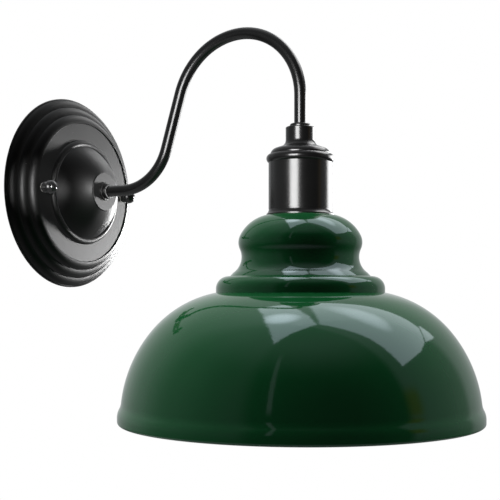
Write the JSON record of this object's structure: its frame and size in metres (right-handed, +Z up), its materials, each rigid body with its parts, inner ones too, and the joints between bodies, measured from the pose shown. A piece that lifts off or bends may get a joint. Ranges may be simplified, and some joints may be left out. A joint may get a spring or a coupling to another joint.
{
  "type": "gooseneck wall sconce",
  "caption": "Wall light with a round ribbed back plate, a bent gooseneck arm, a metal lampholder cover and a domed enamel shade.",
  "frame": {"origin": "centre of the back plate on the wall plane, which is also the middle of the two wall screws", "axes": "+Y into the wall, -Y into the room, +Z up, +X to the right seen from the room"},
  "size_m": [0.3, 0.3945, 0.3323],
  "materials": {
    "zinc_steel": "satin zinc plate",
    "bright_nickel": "bright nickel plate",
    "gloss_black_knob": "gloss black",
    "black_enamel": "satin black powder coat",
    "black_tube": "semi-gloss black",
    "black_satin_metal": "satin black",
    "black_plastic": "moulded",
    "porcelain": "glazed porcelain",
    "nickel_brass": "nickel-plated brass",
    "brass": "bare brass",
    "spring_steel": "drawn wire",
    "green_enamel": "high-gloss green outside, white inside",
    "white_plastic": "moulded nylon",
    "earth_sleeve": "green and yellow wire insulation",
    "live_sleeve": "brown wire insulation",
    "neutral_sleeve": "blue wire insulation"
  },
  "bodies": {
    "root": {"mounting_bar": "zinc_steel", "plate_studs": "zinc_steel", "stud_washers": "bright_nickel", "back_plate": "black_enamel", "arm_collar": "black_enamel", "arm_lock_washer": "zinc_steel", "arm_nut": "zinc_steel", "gooseneck_tube": "black_tube", "tube_bush_wall": "black_plastic", "tube_bush_lamp": "black_plastic", "holder_locknut": "black_satin_metal", "holder_cap": "black_satin_metal", "holder_shell": "black_satin_metal", "holder_bridge": "zinc_steel", "bridge_screws": "zinc_steel", "holder_inner_nut": "zinc_steel", "lampholder_body": "porcelain", "screw_shell": "nickel_brass", "neutral_terminal": "brass", "live_terminal": "brass", "terminal_screws": "zinc_steel", "contact_washer": "brass", "contact_spring": "spring_steel", "seat_ring": "black_satin_metal", "shade": "green_enamel", "terminal_block": "white_plastic", "block_clamps": "brass", "block_screws": "zinc_steel", "block_fixing_screw": "zinc_steel", "earth_tag": "bright_nickel", "earth_screw": "brass", "earth_wire": "earth_sleeve", "live_wire": "live_sleeve", "neutral_wire": "neutral_sleeve"},
    "left_nut": {"ball_nut_left": "gloss_black_knob"},
    "right_nut": {"ball_nut_right": "gloss_black_knob"},
    "clamp_ring": {"shade_ring": "black_plastic"},
    "contact": {"centre_contact": "nickel_brass", "contact_clip": "spring_steel"}
  },
  "joints": [
    {"name": "ball_nut_left_turn", "type": "hinge", "parent": "root", "child": "left_nut", "pos_m": [-0.057, -0.026, 0], "axis": [0, -1, 0], "continuous": true},
    {"name": "ball_nut_right_turn", "type": "hinge", "parent": "root", "child": "right_nut", "pos_m": [0.057, -0.026, 0], "axis": [0, -1, 0], "continuous": true},
    {"name": "shade_ring_turn", "type": "hinge", "parent": "root", "child": "clamp_ring", "pos_m": [0, -0.2445, -0.034], "axis": [0, 0, 1], "continuous": true},
    {"name": "centre_contact_press", "type": "slide", "parent": "root", "child": "contact", "axis": [0, 0, 1], "range_m": [0, 0.0015], "stiffness_N_per_m": 900, "deforming": ["contact_spring"]}
  ]
}
